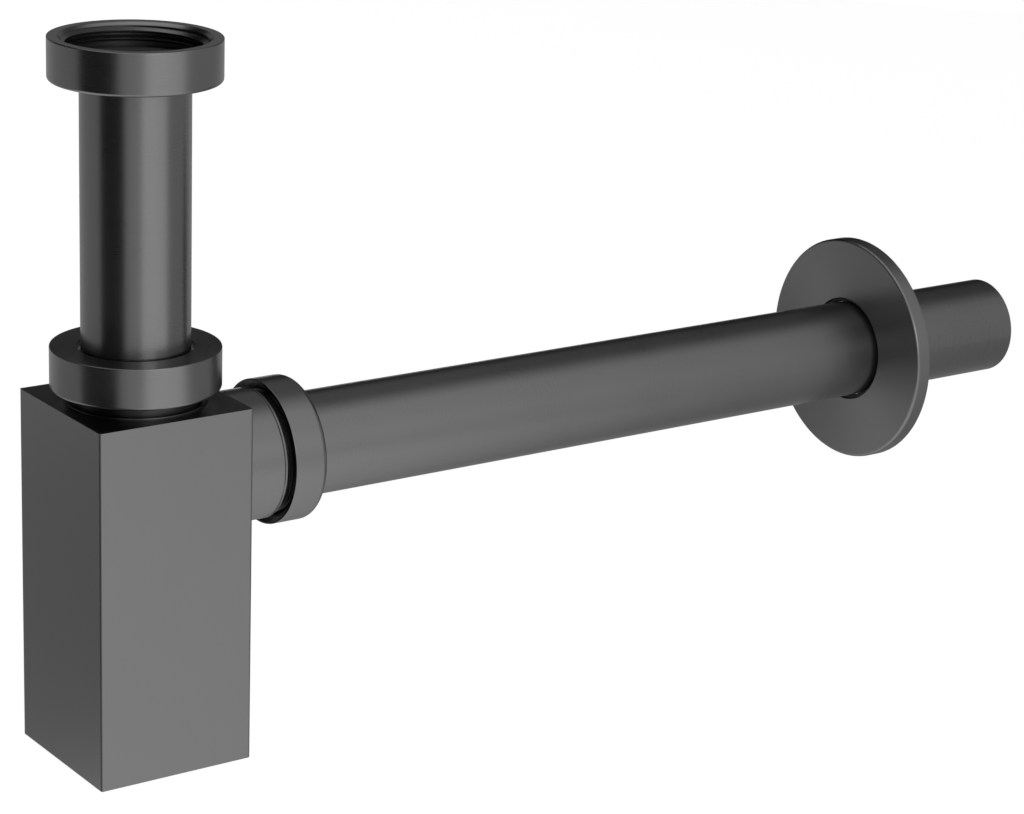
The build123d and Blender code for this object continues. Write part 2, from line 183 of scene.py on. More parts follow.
def coated_metal(name, turned=None, roughness=0.30, grain=0.0, painted_shade_grey=None, painted_shade_within=None):
    """Dark satin coating on brushed brass: turned round an axis along Z or X, or belt-polished upright.

    Painted shade: a darker grey of its own, all over or within a radius and up to a place along the axis.
    """
    material, nodes, links, shader = new_material(name)
    x, y, z = place_on(nodes, links)
    if turned:
        distance, along, first_part, second_part = lathe_place(nodes, links, turned)
        swept = calc(nodes, links, "ADD", distance, calc(nodes, links, "MULTIPLY", first_part, line_spread))
        round_way = calc(nodes, links, "MULTIPLY", second_part, line_spread)
        lines = noise_on(nodes, links, swept, along, round_way, 1 / brush_pitch, fine_detail)
    else:
        upright = calc(nodes, links, "MULTIPLY", z, belt_stretch)
        lines = noise_on(nodes, links, x, y, upright, 1 / brush_pitch, fine_detail)
        wide_upright = calc(nodes, links, "MULTIPLY", z, band_stretch)
        bands = noise_on(nodes, links, x, y, wide_upright, 1 / band_width)
    clouds = noise_on(nodes, links, x, y, z, cloud_scale, fine_detail)
    if not turned:
        clouds = calc(nodes, links, "MULTIPLY", calc(nodes, links, "ADD", clouds, bands), 0.5)
    rough_lines = spread(nodes, links, lines, roughness - line_roughness, roughness + line_roughness)
    rough_clouds = spread(nodes, links, clouds, -cloud_roughness, cloud_roughness)
    wire(links, calc(nodes, links, "ADD", rough_lines, rough_clouds), shader.inputs["Roughness"])
    # Painted shade: a darker grey replaces the coating's colour, all over or inside a radius.
    if painted_shade_grey and not painted_shade_within:
        shader.inputs["Base Color"].default_value = [painted_shade_grey] * 3 + [1.0]
    else:
        both = calc(nodes, links, "MULTIPLY", calc(nodes, links, "ADD", lines, clouds), 0.5)
        colour = tinted(nodes, links, coating_grey, 1 - tint_change, 1 + tint_change, both)
        if painted_shade_within:
            widest, furthest = painted_shade_within
            shaded_inside = calc(nodes, links, "MULTIPLY", calc(nodes, links, "LESS_THAN", distance, widest),
                          calc(nodes, links, "LESS_THAN", along, furthest))
            painted_shade_mix = nodes.new("ShaderNodeMix")
            painted_shade_mix.data_type = "RGBA"
            painted_shade_mix.inputs["B"].default_value = [painted_shade_grey] * 3 + [1.0]
            wire(links, shaded_inside, painted_shade_mix.inputs["Factor"])
            wire(links, colour, painted_shade_mix.inputs["A"])
            colour = painted_shade_mix.outputs["Result"]
        wire(links, colour, shader.inputs["Base Color"])
    bump = nodes.new("ShaderNodeBump")
    bump.inputs["Strength"].default_value = brush_strength
    bump.inputs["Distance"].default_value = brush_depth
    wire(links, lines, bump.inputs["Height"])
    wire(links, bump.outputs["Normal"], shader.inputs["Normal"])
    shader.inputs["Metallic"].default_value = 1.0
    shader.inputs["Anisotropic"].default_value = grain
    shader.inputs["Anisotropic Rotation"].default_value = grain_turn
    if turned:
        wire(links, round_tangent(nodes, links, turned), shader.inputs["Tangent"])
    else:
        belt = nodes.new("ShaderNodeCombineXYZ")
        for socket, value in zip(belt.inputs, belt_direction):
            wire(links, value, socket)
        wire(links, belt.outputs["Vector"], shader.inputs["Tangent"])
    return material


def round_tangent(nodes, links, along):
    """The direction round the lathe axis, in which the turning lines run."""
    coords = nodes.new("ShaderNodeTexCoord")
    shift = nodes.new("ShaderNodeVectorMath")
    shift.operation = "SUBTRACT"
    shift.inputs[1].default_value = (0, 0, outlet_height if along == "X" else 0)
    wire(links, coords.outputs["Object"], shift.inputs[0])
    cross = nodes.new("ShaderNodeVectorMath")
    cross.operation = "CROSS_PRODUCT"
    cross.inputs[0].default_value = (1, 0, 0) if along == "X" else (0, 0, 1)
    wire(links, shift.outputs["Vector"], cross.inputs[1])
    to_world = nodes.new("ShaderNodeVectorTransform")
    to_world.vector_type = "VECTOR"
    to_world.convert_from = "OBJECT"
    to_world.convert_to = "WORLD"
    wire(links, cross.outputs["Vector"], to_world.inputs["Vector"])
    unit = nodes.new("ShaderNodeVectorMath")
    unit.operation = "NORMALIZE"
    wire(links, to_world.outputs["Vector"], unit.inputs[0])
    return unit.outputs["Vector"]


def finish_piece(mesh, name, node, material, sharp=35.0, rounding=0.0):
    """Makes the object, shades it smooth between crisp edges, and puts it in place of its CAD node."""
    data = bpy.data.meshes.new(name)
    mesh.to_mesh(data)
    mesh.free()
    data.shade_smooth()
    data.set_sharp_from_angle(angle=math.radians(sharp))
    data.materials.append(material)
    piece = bpy.data.objects.new(name, data)
    bpy.context.scene.collection.objects.link(piece)
    if rounding:
        rounds = piece.modifiers.new("rounded_edges", "BEVEL")
        rounds.limit_method = "WEIGHT"
        rounds.width = rounding
        rounds.segments = edge_steps
    normals = piece.modifiers.new("even_shading", "WEIGHTED_NORMAL")
    normals.keep_sharp = True
    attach(piece, nodes_of[node]["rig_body"])
    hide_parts(node)
    return piece


def side_of(mesh, axis, place):
    """The largest flat face of the box that lies at that place along an axis."""
    level_faces = [face for face in mesh.faces
                   if all(abs(vert.co[axis] - place) < same_place for vert in face.verts)]
    return max(level_faces, key=lambda face: face.calc_area())


def open_round(mesh, axis, place, centre, radius):
    """Cuts a round hole in a flat side and gives back the hole's edges."""
    side = side_of(mesh, axis, place)
    bmesh.ops.inset_individual(mesh, faces=[side], thickness=hole_inset)
    side = side_of(mesh, axis, place)
    rim = list(side.edges)
    bmesh.ops.delete(mesh, geom=[side], context="FACES_ONLY")
    turn = Matrix.Rotation(math.pi / 2, 4, "Y") if axis == 0 else Matrix.Identity(4)
    hole = bmesh.ops.create_circle(mesh, segments=hole_segments, radius=radius,
                                   matrix=Matrix.Translation(centre) @ turn)
    edges = {edge for vert in hole["verts"] for edge in vert.link_edges}
    bmesh.ops.triangle_fill(mesh, use_beauty=True, edges=rim + list(edges))
    return list(edges)


def step_on(mesh, edges, axis, place, growth=1.0):
    """Carries a hole's edge to another place and width with a band of faces; gives back its new edge."""
    made = bmesh.ops.extrude_edge_only(mesh, edges=edges)["geom"]
    verts = [item for item in made if isinstance(item, bmesh.types.BMVert)]
    for vert in verts:
        vert.co[axis] = place
        for other in {0, 1, 2} - {axis}:
            middle = outlet_height if axis == 0 and other == 2 else 0.0
            vert.co[other] = middle + (vert.co[other] - middle) * growth
    return [item for item in made if isinstance(item, bmesh.types.BMEdge)]


bottle_low, bottle_high = corners_of("bottle_body")
hole_segments = 96
hole_inset = 2.0 * mm
wall = 1.5 * mm
floor_wall = 2.0 * mm
neck_hole = 18.95 * mm
outlet_hole = 18.35 * mm
plug_recess = 17.4 * mm
plug_recess_top = bottle_low.z + 3.92 * mm
plug_bore = 14.5 * mm
plug_boss = 20.5 * mm
plug_boss_top = bottle_low.z + 9.0 * mm
upright_round = 1.5 * mm
base_share = 0.65
top_share = 0.2
body_centre = (bottle_low + bottle_high) / 2
body = bmesh.new()
bmesh.ops.create_cube(body, size=1.0, matrix=Matrix.Translation(body_centre)
                      @ Matrix.Diagonal((bottle_high - bottle_low).to_4d()))
weights = body.edges.layers.float.new("bevel_weight_edge")
for edge in body.edges:
    heights = [vert.co.z for vert in edge.verts]
    if max(heights) - min(heights) > mm:
        edge[weights] = 1.0
    else:
        edge[weights] = base_share if max(heights) < body_centre.z else top_share
inner_low = bottle_low + Vector((wall, wall, floor_wall))
inner_high = bottle_high - Vector((wall, wall, wall))
bmesh.ops.create_cube(body, size=1.0, matrix=Matrix.Translation((inner_low + inner_high) / 2)
                      @ Matrix.Diagonal((inner_high - inner_low).to_4d()))
outlet_centre = Vector((bottle_high.x, 0, outlet_height))
neck_edges = open_round(body, 2, bottle_high.z, (0, 0, bottle_high.z), neck_hole)
step_on(body, neck_edges, 2, inner_high.z)
open_round(body, 2, inner_high.z, (0, 0, inner_high.z), neck_hole)
outlet_edges = open_round(body, 0, bottle_high.x, outlet_centre, outlet_hole)
step_on(body, outlet_edges, 0, inner_high.x)
open_round(body, 0, inner_high.x, (inner_high.x, 0, outlet_height), outlet_hole)
recess = open_round(body, 2, bottle_low.z, (0, 0, bottle_low.z), plug_recess)
recess_steps = (
    (plug_recess_top, 1.0),
    (plug_recess_top, plug_bore / plug_recess),
    (plug_boss_top, 1.0),
    (plug_boss_top, plug_boss / plug_bore),
    (inner_low.z, 1.0),
)
for place, growth in recess_steps:
    recess = step_on(body, recess, 2, place, growth)
open_round(body, 2, inner_low.z, (0, 0, inner_low.z), plug_boss)
bmesh.ops.remove_doubles(body, verts=body.verts, dist=same_place)
bmesh.ops.recalc_face_normals(body, faces=body.faces)
flat_metal = coated_metal("belt_polished_metal", roughness=0.32, grain=0.6)
finish_piece(body, "bottle_shell", "bottle_body", flat_metal, rounding=upright_round)

# Outlet boss
# A turned brass nipple soldered into the bottle's side: a smooth shoulder with a fine groove and a small
# bevel at its end, a relief, the 38 x 1.5 thread for the outlet nut, and a conical mouth for the seal.
round_segments = 160
boss_low, boss_high = corners_of("outlet_nipple")
boss_radius = (boss_high.y - boss_low.y) / 2
boss_end = bottle_high.x + 14.0 * mm
boss_face = boss_end + 1.2 * mm
boss_bevel = 0.35 * mm
boss_spigot = 18.3 * mm
boss_relief = 17.8 * mm
boss_mouth = 17.6 * mm
mouth_depth = 3.77 * mm
groove_middle = boss_face - 1.1 * mm
groove_size = 0.2 * mm
groove_sharpness = 9.0
outlet_thread_core = 18.05 * mm
outlet_thread_crest = 18.93 * mm
outlet_pitch = 1.5 * mm
outlet_thread_start = boss_end + 2.2 * mm
tube_radius = (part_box("outlet_tube")[1][1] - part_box("outlet_tube")[0][1]) / 2
turned_metal_x = coated_metal("turned_metal_outlet", turned="X", roughness=0.30, grain=0.4)


def turned(corners):
    """A closed ring with the given outline of radius and height, turned about Z."""
    mesh = bmesh.new()
    outline = [mesh.verts.new((radius, 0, height)) for radius, height in corners]
    sides = [mesh.edges.new((outline[index - 1], outline[index])) for index in range(len(outline))]
    bmesh.ops.spin(mesh, geom=outline + sides, cent=(0, 0, 0), axis=(0, 0, 1), angle=2 * math.pi,
                   steps=round_segments, use_merge=True)
    bmesh.ops.remove_doubles(mesh, verts=mesh.verts, dist=same_place)
    bmesh.ops.recalc_face_normals(mesh, faces=mesh.faces)
    return mesh


def round_off(mesh, radius, height, amount, segments=4):
    """Rounds the ring edge at that radius and height."""
    def on_ring(vert):
        off_radius = abs(math.hypot(vert.co.x, vert.co.y) - radius)
        return max(off_radius, abs(vert.co.z - height)) < 2 * same_place
    ring = [edge for edge in mesh.edges if on_ring(edge.verts[0]) and on_ring(edge.verts[1])]
    bmesh.ops.bevel(mesh, geom=ring, offset=amount, offset_type="OFFSET", segments=segments, profile=0.5,
                    affect="EDGES", clamp_overlap=True, material=-1)


def cut_thread(mesh, root, crest, pitch, start, turns, flank=30.0, fade=0.3, first_angle=0.0):
    """Adds a thread's ridge from its root to its crest, running up from a start height, with faded ends."""
    steps_per_turn = 96
    room = 0.05 * mm
    least_tip = 0.08 * mm
    least_share = 0.02
    steps = round(turns * steps_per_turn)
    lean = math.tan(math.radians(flank))
    middle = abs(crest - root) / 2
    foot_half = pitch / 4 - room + middle * lean
    tip_half = max(pitch / 4 - room - middle * lean, least_tip)
    ridge = bmesh.new()
    corners = ((root, -foot_half), (crest, -tip_half), (crest, tip_half), (root, foot_half))
    swing = Matrix.Rotation(math.radians(first_angle), 4, "Z")
    section = [ridge.verts.new(swing @ Vector((radius, 0, start + height))) for radius, height in corners]
    face = ridge.faces.new(section)
    bmesh.ops.spin(ridge, geom=section + list(face.edges) + [face], cent=(0, 0, 0), axis=(0, 0, 1),
                   dvec=(0, 0, pitch / steps_per_turn), angle=2 * math.pi * turns, steps=steps)
    for index, vert in enumerate(ridge.verts):
        step = index // len(corners)
        middle_height = start + step * pitch / steps_per_turn
        share = min(max(min(step, steps - step) / steps_per_turn / fade, least_share), 1.0)
        radius = math.hypot(vert.co.x, vert.co.y)
        new_radius = root + (radius - root) * share
        vert.co.x *= new_radius / radius
        vert.co.y *= new_radius / radius
        vert.co.z = middle_height + (vert.co.z - middle_height) * share
    bmesh.ops.recalc_face_normals(ridge, faces=ridge.faces)
    held = bpy.data.meshes.new("ridge")
    ridge.to_mesh(held)
    ridge.free()
    mesh.from_mesh(held)
    bpy.data.meshes.remove(held)


def lay_along_outlet(mesh):
    """Turns a piece made about Z so that it lies along the outlet's axis."""
    bmesh.ops.rotate(mesh, cent=(0, 0, 0), matrix=Matrix.Rotation(math.pi / 2, 3, "Y"), verts=mesh.verts)
    bmesh.ops.translate(mesh, vec=(0, 0, outlet_height), verts=mesh.verts)


boss_bore = tube_radius + 0.5 * mm
boss = turned((
    (boss_bore, boss_low.x),
    (boss_spigot, boss_low.x),
    (boss_spigot, bottle_high.x),
    (boss_radius, bottle_high.x),
    (boss_radius, groove_middle - groove_size),
    (boss_radius - groove_size, groove_middle),
    (boss_radius, groove_middle + groove_size),
    (boss_radius, boss_face - boss_bevel),
    (boss_radius - boss_bevel, boss_face),
    (boss_relief, boss_face),
    (boss_relief, boss_end + 1.4 * mm),
    (outlet_thread_core, boss_end + 1.5 * mm),
    (outlet_thread_core, boss_high.x - 0.3 * mm),
    (outlet_thread_core - 0.3 * mm, boss_high.x),
    (boss_mouth, boss_high.x),
    (boss_bore, boss_high.x - mouth_depth),
))
cut_thread(boss, outlet_thread_core - 0.03 * mm, outlet_thread_crest, outlet_pitch, outlet_thread_start,
           turns=4.3)
lay_along_outlet(boss)
finish_piece(boss, "outlet_boss", "outlet_nipple", turned_metal_x, sharp=groove_sharpness)

# Neck nipple
# The turned brass neck soldered into the bottle's top. A thin collar sits on the bottle, then a relief, then
# the G 1 1/4 thread that the neck nut runs on. Its colour is painted dark all over, as shade under the nut.
neck_low, neck_high = corners_of("neck_nipple")
neck_collar_radius = (neck_high.x - neck_low.x) / 2
inlet_pitch = 2.309 * mm
inlet_thread_outer = 20.955 * mm
inlet_thread_inner = 19.476 * mm
neck_core = inlet_thread_inner - 0.06 * mm
neck_bore = 17.8 * mm
neck_spigot = 18.9 * mm
neck_relief_radius = 19.2 * mm
pipe_thread_flank = 27.5
# Painted shade: the whole neck gets a dark grey for the shade under the neck nut.
neck_metal = coated_metal("threaded_neck_metal", turned="Z", roughness=0.34, grain=0.3, painted_shade_grey=0.07)
neck = turned((
    (neck_bore, neck_high.z),
    (neck_core - 0.5 * mm, neck_high.z),
    (neck_core, neck_high.z - 0.5 * mm),
    (neck_core, bottle_high.z + 1.1 * mm),
    (neck_relief_radius, bottle_high.z + 1.0 * mm),
    (neck_relief_radius, bottle_high.z + 0.5 * mm),
    (neck_collar_radius, bottle_high.z + 0.5 * mm),
    (neck_collar_radius, bottle_high.z),
    (neck_spigot, bottle_high.z),
    (neck_spigot, neck_low.z),
    (neck_bore, neck_low.z),
))
round_off(neck, neck_collar_radius, bottle_high.z + 0.5 * mm, 0.15 * mm, 2)
neck_thread_start = bottle_high.z + 1.75 * mm
cut_thread(neck, neck_core - 0.04 * mm, inlet_thread_outer - 0.1 * mm, inlet_pitch, neck_thread_start,
           turns=2.95, flank=pipe_thread_flank)
finish_piece(neck, "threaded_neck", "neck_nipple", neck_metal)

# Dip tube and its gasket
# A moulded plastic tube that hangs by its collar on the neck, over a flat rubber ring, and carries the water
# down below the outlet. Its mouth is conical, for the seal's nose.
dip_low, dip_high = corners_of("dip_tube")
dip_gasket_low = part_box("dip_gasket")[0][2]
thread_passage = inlet_thread_inner - 0.1 * mm
dip_collar_radius = min((dip_high.x - dip_low.x) / 2, thread_passage)
skin_detail = 4.0
skin_roughness = 0.06
skin_strength = 0.4
dark_patches = 0.9
light_patches = 1.08


def moulded(name, colour, roughness, grain_size, grain_depth):
    """Matt moulded plastic or rubber with a fine skin and faint cloudiness."""
    material, nodes, links, shader = new_material(name)
    x, y, z = place_on(nodes, links)
    skin = noise_on(nodes, links, x, y, z, 1 / grain_size, skin_detail)
    clouds = noise_on(nodes, links, x, y, z, 2 * cloud_scale)
    rough_skin = spread(nodes, links, skin, roughness - skin_roughness, roughness + skin_roughness)
    wire(links, rough_skin, shader.inputs["Roughness"])
    patches = tinted(nodes, links, colour, dark_patches, light_patches, clouds)
    wire(links, patches, shader.inputs["Base Color"])
    bump = nodes.new("ShaderNodeBump")
    bump.inputs["Strength"].default_value = skin_strength
    bump.inputs["Distance"].default_value = grain_depth
    wire(links, skin, bump.inputs["Height"])
    wire(links, bump.outputs["Normal"], shader.inputs["Normal"])
    return material


pale_plastic = moulded("pale_plastic", (0.62, 0.61, 0.57), 0.42, 0.5 * mm, 0.03 * mm)
black_rubber = moulded("black_rubber", (0.022, 0.022, 0.023), 0.62, 0.25 * mm, 0.05 * mm)
dip_outer = 17.6 * mm
dip_bore = 16.4 * mm
dip_collar_under = dip_high.z - 1.6 * mm
dip_cone_foot = dip_high.z - 4.11 * mm
dip_tube = turned((
    (dip_bore, dip_low.z),
    (dip_outer, dip_low.z),
    (dip_outer, dip_collar_under),
    (dip_collar_radius, dip_collar_under),
    (dip_collar_radius, dip_high.z),
    (dip_outer, dip_high.z),
    (dip_bore, dip_cone_foot),
))
round_off(dip_tube, dip_outer, dip_low.z, 0.3 * mm, 2)
round_off(dip_tube, dip_collar_radius, dip_high.z, 0.2 * mm, 2)
finish_piece(dip_tube, "dip_pipe", "dip_tube", pale_plastic)
dip_gasket_top = dip_gasket_low + 1.0 * mm
dip_ring = turned((
    (neck_bore, dip_gasket_low),
    (dip_collar_radius, dip_gasket_low),
    (dip_collar_radius, dip_gasket_top),
    (neck_bore, dip_gasket_top),
))
round_off(dip_ring, dip_collar_radius, dip_gasket_low, 0.15 * mm, 2)
finish_piece(dip_ring, "dip_pipe_gasket", "dip_gasket", black_rubber)

# Inlet tube
# A drawn brass tube with its top turned out into a flat collar, which the union nut pulls up against the
# gasket.
tube_low, tube_high = corners_of("inlet_tube")
tube_bore = tube_radius - 1.0 * mm
collar_radius = (tube_high.x - tube_low.x) / 2
collar_under = tube_high.z - 1.5 * mm
turned_metal_z = coated_metal("turned_metal_inlet", turned="Z", roughness=0.30, grain=0.4)
inlet_tube = turned((
    (tube_bore, tube_low.z),
    (tube_radius, tube_low.z),
    (tube_radius, collar_under),
    (collar_radius, collar_under),
    (collar_radius, tube_high.z),
    (tube_bore, tube_high.z),
))
round_off(inlet_tube, tube_radius, tube_low.z, 0.3 * mm, 3)
round_off(inlet_tube, tube_radius, collar_under, 0.7 * mm, 4)
round_off(inlet_tube, tube_bore, tube_high.z, 0.7 * mm, 4)
round_off(inlet_tube, collar_radius, tube_high.z, 0.2 * mm, 2)
finish_piece(inlet_tube, "inlet_pipe", "inlet_tube", turned_metal_z)

# Union gasket
# A flat black rubber ring on the tube's collar, which the end of the basin waste presses down on.
gasket_low, gasket_high = corners_of("union_gasket")
gasket_bore = 14.8 * mm
gasket = turned((
    (gasket_bore, gasket_low.z),
    (gasket_high.x, gasket_low.z),
    (gasket_high.x, gasket_high.z),
    (gasket_bore, gasket_high.z),
))
for gasket_radius in (gasket_bore, gasket_high.x):
    round_off(gasket, gasket_radius, gasket_low.z, 0.3 * mm, 2)
    round_off(gasket, gasket_radius, gasket_high.z, 0.3 * mm, 2)
finish_piece(gasket, "union_washer", "union_gasket", black_rubber)

# Union nut
# A turned brass ring that screws onto the basin waste. Its mouth has a 45 degree lead-in above the G 1 1/4
# thread, and its floor has a hole for the tube. Inside the thread's radius it is painted dark, as shade in
# the bore.
union_low, union_high = corners_of("union_nut")
union_radius = (union_high.x - union_low.x) / 2
union_hole = tube_radius + 0.5 * mm
union_lead_in = 1.0 * mm
nut_relief_radius = 20.5 * mm
# Painted shade: everything inside this radius is darkened, for the shade inside the nut.
painted_shade_radius = inlet_thread_outer + 0.2 * mm
union_metal = coated_metal("turned_union_metal", turned="Z", roughness=0.30, grain=0.4, painted_shade_grey=0.14,
                           painted_shade_within=(painted_shade_radius, union_high.z + mm))
union_nut = turned((
    (union_hole, union_low.z),
    (union_radius, union_low.z),
    (union_radius, union_high.z),
    (inlet_thread_outer + union_lead_in, union_high.z),
    (inlet_thread_outer, union_high.z - union_lead_in),
    (inlet_thread_outer, -0.1 * mm),
    (nut_relief_radius, -0.3 * mm),
    (nut_relief_radius, collar_under),
    (union_hole + 0.7 * mm, collar_under),
    (union_hole, collar_under - 0.7 * mm),
))
round_off(union_nut, union_radius, union_low.z, 1.1 * mm, 6)
round_off(union_nut, union_radius, union_high.z, 0.3 * mm, 3)
round_off(union_nut, inlet_thread_outer + union_lead_in, union_high.z, 0.3 * mm, 3)
cut_thread(union_nut, inlet_thread_outer + 0.05 * mm, inlet_thread_inner, inlet_pitch, start=0.25 * mm,
           turns=2.35, flank=pipe_thread_flank, first_angle=108.0)
finish_piece(union_nut, "union_ring_nut", "union_nut", union_metal)

# Neck cone seal and slip ring
# The tapered rubber ring that wedges between the inlet tube and the dip tube's mouth, and the hard plastic
# ring on it that lets the nut turn without dragging the rubber round.
seal_low, seal_high = corners_of("neck_cone_seal")
ring_low, ring_high = corners_of("neck_slip_ring")
seal_bore = tube_radius + 0.03 * mm
ring_bore = tube_radius + 0.3 * mm
rim_height = 1.47 * mm
nose_radius = 16.56 * mm
nose_root_radius = 17.26 * mm


def cone_seal(bottom, top, rim_radius):
    """A seal whose nose points down: rim, nose and bore."""
    seal = turned((
        (seal_bore, top),
        (rim_radius, top),
        (rim_radius, top - rim_height),
        (nose_root_radius, top - rim_height),
        (nose_radius, bottom),
        (seal_bore, bottom),
    ))
    round_off(seal, rim_radius, top - rim_height, 0.2 * mm, 2)
    round_off(seal, nose_radius, bottom, 0.2 * mm, 2)
    return seal


def slip_ring(bottom, top, rim_radius):
    """A flat ring with eased edges."""
    ring = turned(((ring_bore, bottom), (rim_radius, bottom), (rim_radius, top), (ring_bore, top)))
    round_off(ring, rim_radius, top, 0.15 * mm, 2)
    round_off(ring, rim_radius, bottom, 0.15 * mm, 2)
    return ring


neck_seal = cone_seal(seal_low.z, seal_high.z, min(seal_high.x, thread_passage))
finish_piece(neck_seal, "neck_seal", "neck_cone_seal", black_rubber)
neck_ring = slip_ring(ring_low.z, ring_high.z, min(ring_high.x, thread_passage))
finish_piece(neck_ring, "neck_glide_ring", "neck_slip_ring", pale_plastic)

# Neck nut
# A turned brass cap with a hole for the inlet tube and the G 1 1/4 thread inside. Its top edge is crisp and
# its lower edge is rounded.
nut_low, nut_high = corners_of("neck_nut")
nut_radius = (nut_high.x - nut_low.x) / 2
nut_hole = tube_radius + 1.0 * mm
nut_shelf = nut_high.z - 1.8 * mm
nut_thread_bore = inlet_thread_outer + 0.05 * mm
neck_nut = turned((
    (nut_hole, nut_high.z),
    (nut_radius, nut_high.z),
    (nut_radius, nut_low.z),
    (nut_thread_bore + 0.3 * mm, nut_low.z),
    (nut_thread_bore, nut_low.z + 0.3 * mm),
    (nut_thread_bore, nut_shelf - 2.4 * mm),
    (nut_relief_radius, nut_shelf - 2.3 * mm),
    (nut_relief_radius, nut_shelf),
    (nut_hole, nut_shelf),
))
round_off(neck_nut, nut_radius, nut_low.z, 1.1 * mm, 6)
round_off(neck_nut, nut_radius, nut_high.z, 0.3 * mm, 3)
round_off(neck_nut, nut_hole, nut_high.z, 0.25 * mm, 2)
nut_thread_start = neck_thread_start + 1.5 * inlet_pitch
cut_thread(neck_nut, nut_thread_bore + 0.04 * mm, inlet_thread_inner + 0.05 * mm, inlet_pitch,
           nut_thread_start, turns=1.65, flank=pipe_thread_flank)
finish_piece(neck_nut, "neck_ring_nut", "neck_nut", turned_metal_z)

# Outlet seal and slip ring
# The same rubber seal and plastic ring as at the neck, a size smaller. The outlet nut presses them into the
# boss's mouth round the outlet tube.
outlet_seal_low, outlet_seal_high = corners_of("outlet_cone_seal")
outlet_ring_low, outlet_ring_high = corners_of("outlet_slip_ring")
outlet_seal = cone_seal(outlet_seal_low.x, outlet_seal_high.x, outlet_seal_high.y)
lay_along_outlet(outlet_seal)
finish_piece(outlet_seal, "outlet_seal", "outlet_cone_seal", black_rubber)
outlet_ring = slip_ring(outlet_ring_low.x, outlet_ring_high.x, outlet_ring_high.y)
lay_along_outlet(outlet_ring)
finish_piece(outlet_ring, "outlet_glide_ring", "outlet_slip_ring", pale_plastic)

# Outlet nut
# The slimmer turned brass nut on the outlet boss, rounded towards the wall, with a wide mouth towards the
# bottle. The mouth and the bore behind it are painted near black, as shade in the gap round the boss.
outlet_nut_low, outlet_nut_high = corners_of("outlet_nut")
outlet_nut_radius = outlet_nut_high.y
outlet_nut_hole = tube_radius + 0.8 * mm
outlet_nut_bore = outlet_thread_crest + 0.1 * mm
outlet_shelf = outlet_nut_high.x - 1.8 * mm
mouth_radius = outlet_nut_radius - 0.1 * mm
# Painted shade: the nut's mouth and bore are set near black, for the shade in the gap round the boss.
nut_metal_x = coated_metal("turned_nut_metal", turned="X", roughness=0.30, grain=0.4, painted_shade_grey=0.02,
                           painted_shade_within=(mouth_radius, outlet_nut_high.x - 3.0 * mm))
outlet_nut = turned((
    (outlet_nut_radius - 0.6 * mm, outlet_nut_low.x),
    (outlet_nut_radius, outlet_nut_low.x),
    (outlet_nut_radius, outlet_nut_high.x),
    (outlet_nut_hole, outlet_nut_high.x),
    (outlet_nut_hole, outlet_shelf),
    (outlet_nut_bore, outlet_shelf),
    (outlet_nut_bore, outlet_nut_low.x + 1.9 * mm),
))
round_off(outlet_nut, outlet_nut_radius, outlet_nut_high.x, 2.0 * mm, 8)
round_off(outlet_nut, outlet_nut_radius, outlet_nut_low.x, 0.25 * mm, 3)
cut_thread(outlet_nut, outlet_nut_bore + 0.04 * mm, outlet_thread_core + 0.1 * mm, outlet_pitch,
           outlet_thread_start + 1.5 * outlet_pitch, turns=3.6)
lay_along_outlet(outlet_nut)
finish_piece(outlet_nut, "outlet_ring_nut", "outlet_nut", nut_metal_x)

# Outlet tube
# The long drawn brass tube from the bottle to the pipe in the wall, cut square with eased ends.
pipe_low, pipe_high = corners_of("outlet_tube")
pipe = turned((
    (tube_bore, pipe_low.x),
    (tube_radius, pipe_low.x),
    (tube_radius, pipe_high.x),
    (tube_bore, pipe_high.x),
))
for pipe_end in (pipe_low.x, pipe_high.x):
    round_off(pipe, tube_radius, pipe_end, 0.35 * mm, 3)
    round_off(pipe, tube_bore, pipe_end, 0.25 * mm, 3)
lay_along_outlet(pipe)
finish_piece(pipe, "outlet_pipe", "outlet_tube", turned_metal_x)

# Wall flange and its grip ring
# A pressed and turned brass cup that hides the hole in the wall. A short hub behind its hole holds the
# round rubber ring that centres it on the tube.
flange_low, flange_high = corners_of("wall_flange")
grip_low, grip_high = corners_of("flange_grip_ring")
flange_radius = flange_high.y
flange_hole = tube_radius + 1.4 * mm
plate_back = flange_low.x + 1.0 * mm
hub_radius = 18.85 * mm
groove_radius = 17.85 * mm
groove_end = plate_back + 1.9 * mm
spun_face = coated_metal("spun_flange_metal", turned="X", roughness=0.33, grain=0.75)
flange = turned((
    (flange_hole, flange_low.x),
    (flange_radius, flange_low.x),
    (flange_radius, flange_high.x),
    (flange_radius - 1.0 * mm, flange_high.x),
    (flange_radius - 1.0 * mm, plate_back),
    (hub_radius, plate_back),
    (hub_radius, groove_end + 0.8 * mm),
    (flange_hole, groove_end + 0.8 * mm),
    (flange_hole, groove_end),
    (groove_radius, groove_end),
    (groove_radius, plate_back),
    (flange_hole, plate_back),
))
round_off(flange, flange_radius, flange_low.x, 0.9 * mm, 4)
round_off(flange, flange_hole, flange_low.x, 0.3 * mm, 2)
round_off(flange, flange_radius, flange_high.x, 0.15 * mm, 2)
lay_along_outlet(flange)
finish_piece(flange, "wall_rosette", "wall_flange", spun_face)
grip_radius = 0.9 * mm
grip_centre = tube_radius + 0.93 * mm
grip_middle = (grip_low.x + grip_high.x) / 2
grip_sides = 16
grip_turns = [2 * math.pi * side / grip_sides for side in range(grip_sides)]
grip = turned([
    (grip_centre + grip_radius * math.cos(turn), grip_middle + grip_radius * math.sin(turn))
    for turn in grip_turns
])
lay_along_outlet(grip)
finish_piece(grip, "rosette_grip_ring", "flange_grip_ring", black_rubber)

# Cleaning plug and its gasket
# A turned brass plug, flush with the bottle's underside, with a milled coin slot and a rubber ring under its
# head.
for node, material in (("cleaning_plug", turned_metal_z), ("plug_gasket", black_rubber)):
    piece = nodes_of[node]
    piece.data.materials.clear()
    piece.data.materials.append(material)

